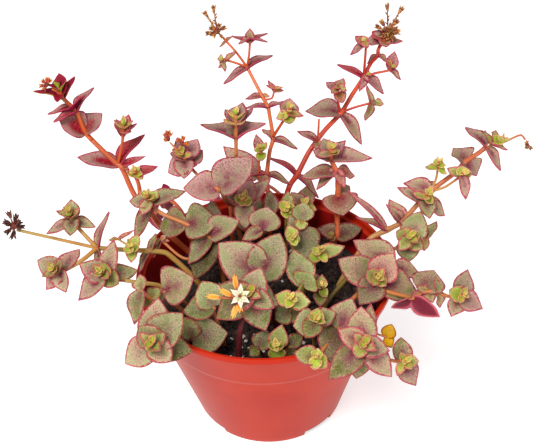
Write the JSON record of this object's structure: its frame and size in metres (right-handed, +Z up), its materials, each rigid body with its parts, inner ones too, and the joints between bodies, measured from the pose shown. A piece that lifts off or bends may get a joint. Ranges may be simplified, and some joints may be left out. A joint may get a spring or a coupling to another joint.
{
  "type": "potted succulent",
  "caption": "Trailing succulent with red stems and grey-green, pink-edged leaves in dark soil, in a round terracotta-coloured plastic pot that rests on its flat base.",
  "frame": {"origin": "middle of the pot's flat base", "axes": "+Z up along the pot's axis, -Y towards the front that the picture shows, +X to its right"},
  "size_m": [0.2258, 0.1575, 0.1486],
  "materials": {
    "pot": "satin",
    "soil": "matte",
    "foliage": "satin",
    "dried_flowers": "matte",
    "petals": "matte"
  },
  "bodies": {
    "root": {"pot": "pot", "soil": "soil", "back_brown_stem": "foliage", "back_bud_stem": "foliage", "back_dark_stem": "foliage", "back_inner_shoot": "foliage", "back_left_side_shoot": "foliage", "back_left_stem": "foliage", "back_low_shoot": "foliage", "back_middle_stem": "foliage", "back_right_stem": "foliage", "back_rim_shoot": "foliage", "broad_leaf_stem": "foliage", "centre_stem": "foliage", "front_bud_stem": "foliage", "front_inner_stem": "foliage", "front_left_stem": "foliage", "front_low_stem": "foliage", "front_middle_stem": "foliage", "front_right_stem": "foliage", "front_shade_stem": "foliage", "front_stem": "foliage", "grey_leaf_stem": "foliage", "left_front_stem": "foliage", "left_inner_stem": "foliage", "left_low_stem": "foliage", "left_middle_stem": "foliage", "left_rim_stem": "foliage", "left_stem": "foliage", "lime_bud_stem": "foliage", "olive_leaf_stem": "foliage", "red_bud_stem": "foliage", "right_front_stem": "foliage", "right_middle_stem": "foliage", "right_rim_stem": "foliage", "right_stem": "foliage", "tall_middle_stem": "foliage", "upper_left_stem": "foliage", "yellow_bud_stem": "foliage", "back_left_flower_head": "dried_flowers", "back_right_flower_head": "dried_flowers", "left_flower_head": "dried_flowers", "left_middle_flower_head": "dried_flowers", "left_middle_second_head": "dried_flowers", "right_flower_head": "dried_flowers", "upper_left_flower_head": "dried_flowers", "wilted_blooms": "dried_flowers", "open_bloom": "petals"}
  },
  "joints": []
}
